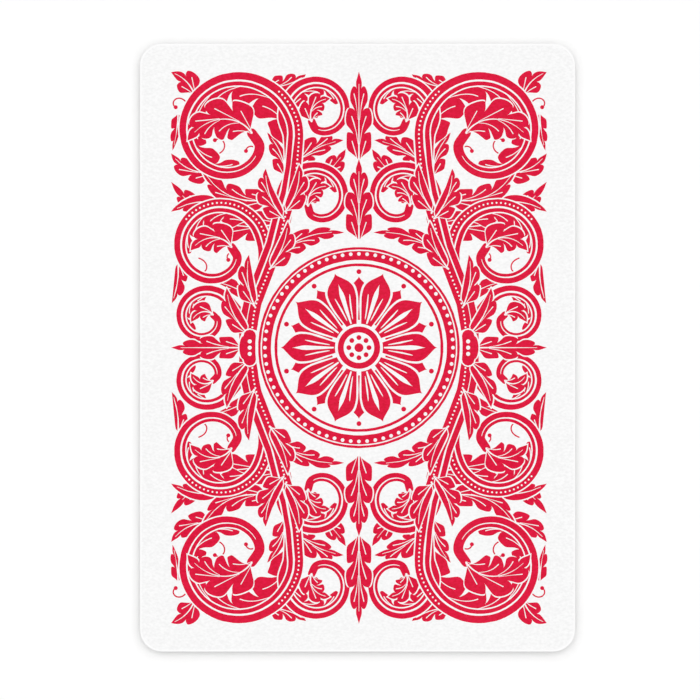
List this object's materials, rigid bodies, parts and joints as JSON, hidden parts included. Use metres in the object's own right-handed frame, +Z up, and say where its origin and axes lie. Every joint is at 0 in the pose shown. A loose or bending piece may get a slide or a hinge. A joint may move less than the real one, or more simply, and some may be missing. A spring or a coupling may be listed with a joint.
{
  "type": "playing card deck",
  "caption": "Squared deck of poker-size playing cards with rounded corners and a red scrollwork back, which fans out, cuts and deals from the top.",
  "frame": {"origin": "middle of the deck's underside, where it lies on the table", "axes": "+Z up the stack towards the card backs, +Y along the cards' length, +X across their width"},
  "size_m": [0.0632, 0.0882, 0.0162],
  "materials": {
    "card_stock": "satin"
  },
  "bodies": {
    "black_joker": {"black_joker": "card_stock"},
    "red_joker": {"red_joker": "card_stock"},
    "ace_of_spades": {"ace_of_spades": "card_stock"},
    "two_of_spades": {"two_of_spades": "card_stock"},
    "three_of_spades": {"three_of_spades": "card_stock"},
    "four_of_spades": {"four_of_spades": "card_stock"},
    "five_of_spades": {"five_of_spades": "card_stock"},
    "six_of_spades": {"six_of_spades": "card_stock"},
    "seven_of_spades": {"seven_of_spades": "card_stock"},
    "eight_of_spades": {"eight_of_spades": "card_stock"},
    "nine_of_spades": {"nine_of_spades": "card_stock"},
    "ten_of_spades": {"ten_of_spades": "card_stock"},
    "jack_of_spades": {"jack_of_spades": "card_stock"},
    "queen_of_spades": {"queen_of_spades": "card_stock"},
    "king_of_spades": {"king_of_spades": "card_stock"},
    "ace_of_diamonds": {"ace_of_diamonds": "card_stock"},
    "two_of_diamonds": {"two_of_diamonds": "card_stock"},
    "three_of_diamonds": {"three_of_diamonds": "card_stock"},
    "four_of_diamonds": {"four_of_diamonds": "card_stock"},
    "five_of_diamonds": {"five_of_diamonds": "card_stock"},
    "six_of_diamonds": {"six_of_diamonds": "card_stock"},
    "seven_of_diamonds": {"seven_of_diamonds": "card_stock"},
    "eight_of_diamonds": {"eight_of_diamonds": "card_stock"},
    "nine_of_diamonds": {"nine_of_diamonds": "card_stock"},
    "ten_of_diamonds": {"ten_of_diamonds": "card_stock"},
    "jack_of_diamonds": {"jack_of_diamonds": "card_stock"},
    "queen_of_diamonds": {"queen_of_diamonds": "card_stock"},
    "king_of_diamonds": {"king_of_diamonds": "card_stock"},
    "king_of_clubs": {"king_of_clubs": "card_stock"},
    "queen_of_clubs": {"queen_of_clubs": "card_stock"},
    "jack_of_clubs": {"jack_of_clubs": "card_stock"},
    "ten_of_clubs": {"ten_of_clubs": "card_stock"},
    "nine_of_clubs": {"nine_of_clubs": "card_stock"},
    "eight_of_clubs": {"eight_of_clubs": "card_stock"},
    "seven_of_clubs": {"seven_of_clubs": "card_stock"},
    "six_of_clubs": {"six_of_clubs": "card_stock"},
    "five_of_clubs": {"five_of_clubs": "card_stock"},
    "four_of_clubs": {"four_of_clubs": "card_stock"},
    "three_of_clubs": {"three_of_clubs": "card_stock"},
    "two_of_clubs": {"two_of_clubs": "card_stock"},
    "ace_of_clubs": {"ace_of_clubs": "card_stock"},
    "king_of_hearts": {"king_of_hearts": "card_stock"},
    "queen_of_hearts": {"queen_of_hearts": "card_stock"},
    "jack_of_hearts": {"jack_of_hearts": "card_stock"},
    "ten_of_hearts": {"ten_of_hearts": "card_stock"},
    "nine_of_hearts": {"nine_of_hearts": "card_stock"},
    "eight_of_hearts": {"eight_of_hearts": "card_stock"},
    "seven_of_hearts": {"seven_of_hearts": "card_stock"},
    "six_of_hearts": {"six_of_hearts": "card_stock"},
    "five_of_hearts": {"five_of_hearts": "card_stock"},
    "four_of_hearts": {"four_of_hearts": "card_stock"},
    "three_of_hearts": {"three_of_hearts": "card_stock"},
    "two_of_hearts": {"two_of_hearts": "card_stock"},
    "ace_of_hearts": {"ace_of_hearts": "card_stock"}
  },
  "joints": [
    {"name": "fan_red_joker", "type": "hinge", "parent": "black_joker", "child": "red_joker", "pos_m": [-0.0283, -0.0408, 0], "axis": [0, 0, -1], "range_deg": [0, 2.5]},
    {"name": "fan_ace_of_spades", "type": "hinge", "parent": "black_joker", "child": "ace_of_spades", "pos_m": [-0.0283, -0.0408, 0], "axis": [0, 0, -1], "range_deg": [0, 5]},
    {"name": "fan_two_of_spades", "type": "hinge", "parent": "black_joker", "child": "two_of_spades", "pos_m": [-0.0283, -0.0408, 0], "axis": [0, 0, -1], "range_deg": [0, 7.5]},
    {"name": "fan_three_of_spades", "type": "hinge", "parent": "black_joker", "child": "three_of_spades", "pos_m": [-0.0283, -0.0408, 0], "axis": [0, 0, -1], "range_deg": [0, 10]},
    {"name": "fan_four_of_spades", "type": "hinge", "parent": "black_joker", "child": "four_of_spades", "pos_m": [-0.0283, -0.0408, 0], "axis": [0, 0, -1], "range_deg": [0, 12.5]},
    {"name": "fan_five_of_spades", "type": "hinge", "parent": "black_joker", "child": "five_of_spades", "pos_m": [-0.0283, -0.0408, 0], "axis": [0, 0, -1], "range_deg": [0, 15]},
    {"name": "fan_six_of_spades", "type": "hinge", "parent": "black_joker", "child": "six_of_spades", "pos_m": [-0.0283, -0.0408, 0], "axis": [0, 0, -1], "range_deg": [0, 17.5]},
    {"name": "fan_seven_of_spades", "type": "hinge", "parent": "black_joker", "child": "seven_of_spades", "pos_m": [-0.0283, -0.0408, 0], "axis": [0, 0, -1], "range_deg": [0, 20]},
    {"name": "fan_eight_of_spades", "type": "hinge", "parent": "black_joker", "child": "eight_of_spades", "pos_m": [-0.0283, -0.0408, 0], "axis": [0, 0, -1], "range_deg": [0, 22.5]},
    {"name": "fan_nine_of_spades", "type": "hinge", "parent": "black_joker", "child": "nine_of_spades", "pos_m": [-0.0283, -0.0408, 0], "axis": [0, 0, -1], "range_deg": [0, 25]},
    {"name": "fan_ten_of_spades", "type": "hinge", "parent": "black_joker", "child": "ten_of_spades", "pos_m": [-0.0283, -0.0408, 0], "axis": [0, 0, -1], "range_deg": [0, 27.5]},
    {"name": "fan_jack_of_spades", "type": "hinge", "parent": "black_joker", "child": "jack_of_spades", "pos_m": [-0.0283, -0.0408, 0], "axis": [0, 0, -1], "range_deg": [0, 30]},
    {"name": "fan_queen_of_spades", "type": "hinge", "parent": "black_joker", "child": "queen_of_spades", "pos_m": [-0.0283, -0.0408, 0], "axis": [0, 0, -1], "range_deg": [0, 32.5]},
    {"name": "fan_king_of_spades", "type": "hinge", "parent": "black_joker", "child": "king_of_spades", "pos_m": [-0.0283, -0.0408, 0], "axis": [0, 0, -1], "range_deg": [0, 35]},
    {"name": "fan_ace_of_diamonds", "type": "hinge", "parent": "black_joker", "child": "ace_of_diamonds", "pos_m": [-0.0283, -0.0408, 0], "axis": [0, 0, -1], "range_deg": [0, 37.5]},
    {"name": "fan_two_of_diamonds", "type": "hinge", "parent": "black_joker", "child": "two_of_diamonds", "pos_m": [-0.0283, -0.0408, 0], "axis": [0, 0, -1], "range_deg": [0, 40]},
    {"name": "fan_three_of_diamonds", "type": "hinge", "parent": "black_joker", "child": "three_of_diamonds", "pos_m": [-0.0283, -0.0408, 0], "axis": [0, 0, -1], "range_deg": [0, 42.5]},
    {"name": "fan_four_of_diamonds", "type": "hinge", "parent": "black_joker", "child": "four_of_diamonds", "pos_m": [-0.0283, -0.0408, 0], "axis": [0, 0, -1], "range_deg": [0, 45]},
    {"name": "fan_five_of_diamonds", "type": "hinge", "parent": "black_joker", "child": "five_of_diamonds", "pos_m": [-0.0283, -0.0408, 0], "axis": [0, 0, -1], "range_deg": [0, 47.5]},
    {"name": "fan_six_of_diamonds", "type": "hinge", "parent": "black_joker", "child": "six_of_diamonds", "pos_m": [-0.0283, -0.0408, 0], "axis": [0, 0, -1], "range_deg": [0, 50]},
    {"name": "fan_seven_of_diamonds", "type": "hinge", "parent": "black_joker", "child": "seven_of_diamonds", "pos_m": [-0.0283, -0.0408, 0], "axis": [0, 0, -1], "range_deg": [0, 52.5]},
    {"name": "fan_eight_of_diamonds", "type": "hinge", "parent": "black_joker", "child": "eight_of_diamonds", "pos_m": [-0.0283, -0.0408, 0], "axis": [0, 0, -1], "range_deg": [0, 55]},
    {"name": "fan_nine_of_diamonds", "type": "hinge", "parent": "black_joker", "child": "nine_of_diamonds", "pos_m": [-0.0283, -0.0408, 0], "axis": [0, 0, -1], "range_deg": [0, 57.5]},
    {"name": "fan_ten_of_diamonds", "type": "hinge", "parent": "black_joker", "child": "ten_of_diamonds", "pos_m": [-0.0283, -0.0408, 0], "axis": [0, 0, -1], "range_deg": [0, 60]},
    {"name": "fan_jack_of_diamonds", "type": "hinge", "parent": "black_joker", "child": "jack_of_diamonds", "pos_m": [-0.0283, -0.0408, 0], "axis": [0, 0, -1], "range_deg": [0, 62.5]},
    {"name": "fan", "type": "hinge", "parent": "black_joker", "child": "queen_of_diamonds", "pos_m": [-0.0283, -0.0408, 0], "axis": [0, 0, -1], "range_deg": [0, 65]},
    {"name": "cut", "type": "slide", "parent": "queen_of_diamonds", "child": "king_of_diamonds", "axis": [-1, 0, 0], "range_m": [0, 0.066]},
    {"name": "fan_king_of_clubs", "type": "hinge", "parent": "king_of_diamonds", "child": "king_of_clubs", "pos_m": [-0.0283, -0.0408, 0], "axis": [0, 0, -1], "range_deg": [0, 2.5]},
    {"name": "fan_queen_of_clubs", "type": "hinge", "parent": "king_of_diamonds", "child": "queen_of_clubs", "pos_m": [-0.0283, -0.0408, 0], "axis": [0, 0, -1], "range_deg": [0, 5]},
    {"name": "fan_jack_of_clubs", "type": "hinge", "parent": "king_of_diamonds", "child": "jack_of_clubs", "pos_m": [-0.0283, -0.0408, 0], "axis": [0, 0, -1], "range_deg": [0, 7.5]},
    {"name": "fan_ten_of_clubs", "type": "hinge", "parent": "king_of_diamonds", "child": "ten_of_clubs", "pos_m": [-0.0283, -0.0408, 0], "axis": [0, 0, -1], "range_deg": [0, 10]},
    {"name": "fan_nine_of_clubs", "type": "hinge", "parent": "king_of_diamonds", "child": "nine_of_clubs", "pos_m": [-0.0283, -0.0408, 0], "axis": [0, 0, -1], "range_deg": [0, 12.5]},
    {"name": "fan_eight_of_clubs", "type": "hinge", "parent": "king_of_diamonds", "child": "eight_of_clubs", "pos_m": [-0.0283, -0.0408, 0], "axis": [0, 0, -1], "range_deg": [0, 15]},
    {"name": "fan_seven_of_clubs", "type": "hinge", "parent": "king_of_diamonds", "child": "seven_of_clubs", "pos_m": [-0.0283, -0.0408, 0], "axis": [0, 0, -1], "range_deg": [0, 17.5]},
    {"name": "fan_six_of_clubs", "type": "hinge", "parent": "king_of_diamonds", "child": "six_of_clubs", "pos_m": [-0.0283, -0.0408, 0], "axis": [0, 0, -1], "range_deg": [0, 20]},
    {"name": "fan_five_of_clubs", "type": "hinge", "parent": "king_of_diamonds", "child": "five_of_clubs", "pos_m": [-0.0283, -0.0408, 0], "axis": [0, 0, -1], "range_deg": [0, 22.5]},
    {"name": "fan_four_of_clubs", "type": "hinge", "parent": "king_of_diamonds", "child": "four_of_clubs", "pos_m": [-0.0283, -0.0408, 0], "axis": [0, 0, -1], "range_deg": [0, 25]},
    {"name": "fan_three_of_clubs", "type": "hinge", "parent": "king_of_diamonds", "child": "three_of_clubs", "pos_m": [-0.0283, -0.0408, 0], "axis": [0, 0, -1], "range_deg": [0, 27.5]},
    {"name": "fan_two_of_clubs", "type": "hinge", "parent": "king_of_diamonds", "child": "two_of_clubs", "pos_m": [-0.0283, -0.0408, 0], "axis": [0, 0, -1], "range_deg": [0, 30]},
    {"name": "fan_ace_of_clubs", "type": "hinge", "parent": "king_of_diamonds", "child": "ace_of_clubs", "pos_m": [-0.0283, -0.0408, 0], "axis": [0, 0, -1], "range_deg": [0, 32.5]},
    {"name": "fan_king_of_hearts", "type": "hinge", "parent": "king_of_diamonds", "child": "king_of_hearts", "pos_m": [-0.0283, -0.0408, 0], "axis": [0, 0, -1], "range_deg": [0, 35]},
    {"name": "fan_queen_of_hearts", "type": "hinge", "parent": "king_of_diamonds", "child": "queen_of_hearts", "pos_m": [-0.0283, -0.0408, 0], "axis": [0, 0, -1], "range_deg": [0, 37.5]},
    {"name": "fan_jack_of_hearts", "type": "hinge", "parent": "king_of_diamonds", "child": "jack_of_hearts", "pos_m": [-0.0283, -0.0408, 0], "axis": [0, 0, -1], "range_deg": [0, 40]},
    {"name": "fan_ten_of_hearts", "type": "hinge", "parent": "king_of_diamonds", "child": "ten_of_hearts", "pos_m": [-0.0283, -0.0408, 0], "axis": [0, 0, -1], "range_deg": [0, 42.5]},
    {"name": "fan_nine_of_hearts", "type": "hinge", "parent": "king_of_diamonds", "child": "nine_of_hearts", "pos_m": [-0.0283, -0.0408, 0], "axis": [0, 0, -1], "range_deg": [0, 45]},
    {"name": "fan_eight_of_hearts", "type": "hinge", "parent": "king_of_diamonds", "child": "eight_of_hearts", "pos_m": [-0.0283, -0.0408, 0], "axis": [0, 0, -1], "range_deg": [0, 47.5]},
    {"name": "fan_seven_of_hearts", "type": "hinge", "parent": "king_of_diamonds", "child": "seven_of_hearts", "pos_m": [-0.0283, -0.0408, 0], "axis": [0, 0, -1], "range_deg": [0, 50]},
    {"name": "fan_six_of_hearts", "type": "hinge", "parent": "king_of_diamonds", "child": "six_of_hearts", "pos_m": [-0.0283, -0.0408, 0], "axis": [0, 0, -1], "range_deg": [0, 52.5]},
    {"name": "fan_five_of_hearts", "type": "hinge", "parent": "king_of_diamonds", "child": "five_of_hearts", "pos_m": [-0.0283, -0.0408, 0], "axis": [0, 0, -1], "range_deg": [0, 55]},
    {"name": "fan_four_of_hearts", "type": "hinge", "parent": "king_of_diamonds", "child": "four_of_hearts", "pos_m": [-0.0283, -0.0408, 0], "axis": [0, 0, -1], "range_deg": [0, 57.5]},
    {"name": "fan_three_of_hearts", "type": "hinge", "parent": "king_of_diamonds", "child": "three_of_hearts", "pos_m": [-0.0283, -0.0408, 0], "axis": [0, 0, -1], "range_deg": [0, 60]},
    {"name": "fan_two_of_hearts", "type": "hinge", "parent": "king_of_diamonds", "child": "two_of_hearts", "pos_m": [-0.0283, -0.0408, 0], "axis": [0, 0, -1], "range_deg": [0, 62.5]},
    {"name": "deal", "type": "slide", "parent": "two_of_hearts", "child": "ace_of_hearts", "axis": [1, 0, 0], "range_m": [0, 0.066]}
  ],
  "couplings": [
    {"joint": "fan_red_joker", "follows": "fan", "ratio": 0.038462},
    {"joint": "fan_ace_of_spades", "follows": "fan", "ratio": 0.076923},
    {"joint": "fan_two_of_spades", "follows": "fan", "ratio": 0.11538},
    {"joint": "fan_three_of_spades", "follows": "fan", "ratio": 0.15385},
    {"joint": "fan_four_of_spades", "follows": "fan", "ratio": 0.19231},
    {"joint": "fan_five_of_spades", "follows": "fan", "ratio": 0.23077},
    {"joint": "fan_six_of_spades", "follows": "fan", "ratio": 0.26923},
    {"joint": "fan_seven_of_spades", "follows": "fan", "ratio": 0.30769},
    {"joint": "fan_eight_of_spades", "follows": "fan", "ratio": 0.34615},
    {"joint": "fan_nine_of_spades", "follows": "fan", "ratio": 0.38462},
    {"joint": "fan_ten_of_spades", "follows": "fan", "ratio": 0.42308},
    {"joint": "fan_jack_of_spades", "follows": "fan", "ratio": 0.46154},
    {"joint": "fan_queen_of_spades", "follows": "fan", "ratio": 0.5},
    {"joint": "fan_king_of_spades", "follows": "fan", "ratio": 0.53846},
    {"joint": "fan_ace_of_diamonds", "follows": "fan", "ratio": 0.57692},
    {"joint": "fan_two_of_diamonds", "follows": "fan", "ratio": 0.61538},
    {"joint": "fan_three_of_diamonds", "follows": "fan", "ratio": 0.65385},
    {"joint": "fan_four_of_diamonds", "follows": "fan", "ratio": 0.69231},
    {"joint": "fan_five_of_diamonds", "follows": "fan", "ratio": 0.73077},
    {"joint": "fan_six_of_diamonds", "follows": "fan", "ratio": 0.76923},
    {"joint": "fan_seven_of_diamonds", "follows": "fan", "ratio": 0.80769},
    {"joint": "fan_eight_of_diamonds", "follows": "fan", "ratio": 0.84615},
    {"joint": "fan_nine_of_diamonds", "follows": "fan", "ratio": 0.88462},
    {"joint": "fan_ten_of_diamonds", "follows": "fan", "ratio": 0.92308},
    {"joint": "fan_jack_of_diamonds", "follows": "fan", "ratio": 0.96154},
    {"joint": "fan_king_of_clubs", "follows": "fan", "ratio": 0.038462},
    {"joint": "fan_queen_of_clubs", "follows": "fan", "ratio": 0.076923},
    {"joint": "fan_jack_of_clubs", "follows": "fan", "ratio": 0.11538},
    {"joint": "fan_ten_of_clubs", "follows": "fan", "ratio": 0.15385},
    {"joint": "fan_nine_of_clubs", "follows": "fan", "ratio": 0.19231},
    {"joint": "fan_eight_of_clubs", "follows": "fan", "ratio": 0.23077},
    {"joint": "fan_seven_of_clubs", "follows": "fan", "ratio": 0.26923},
    {"joint": "fan_six_of_clubs", "follows": "fan", "ratio": 0.30769},
    {"joint": "fan_five_of_clubs", "follows": "fan", "ratio": 0.34615},
    {"joint": "fan_four_of_clubs", "follows": "fan", "ratio": 0.38462},
    {"joint": "fan_three_of_clubs", "follows": "fan", "ratio": 0.42308},
    {"joint": "fan_two_of_clubs", "follows": "fan", "ratio": 0.46154},
    {"joint": "fan_ace_of_clubs", "follows": "fan", "ratio": 0.5},
    {"joint": "fan_king_of_hearts", "follows": "fan", "ratio": 0.53846},
    {"joint": "fan_queen_of_hearts", "follows": "fan", "ratio": 0.57692},
    {"joint": "fan_jack_of_hearts", "follows": "fan", "ratio": 0.61538},
    {"joint": "fan_ten_of_hearts", "follows": "fan", "ratio": 0.65385},
    {"joint": "fan_nine_of_hearts", "follows": "fan", "ratio": 0.69231},
    {"joint": "fan_eight_of_hearts", "follows": "fan", "ratio": 0.73077},
    {"joint": "fan_seven_of_hearts", "follows": "fan", "ratio": 0.76923},
    {"joint": "fan_six_of_hearts", "follows": "fan", "ratio": 0.80769},
    {"joint": "fan_five_of_hearts", "follows": "fan", "ratio": 0.84615},
    {"joint": "fan_four_of_hearts", "follows": "fan", "ratio": 0.88462},
    {"joint": "fan_three_of_hearts", "follows": "fan", "ratio": 0.92308},
    {"joint": "fan_two_of_hearts", "follows": "fan", "ratio": 0.96154}
  ]
}
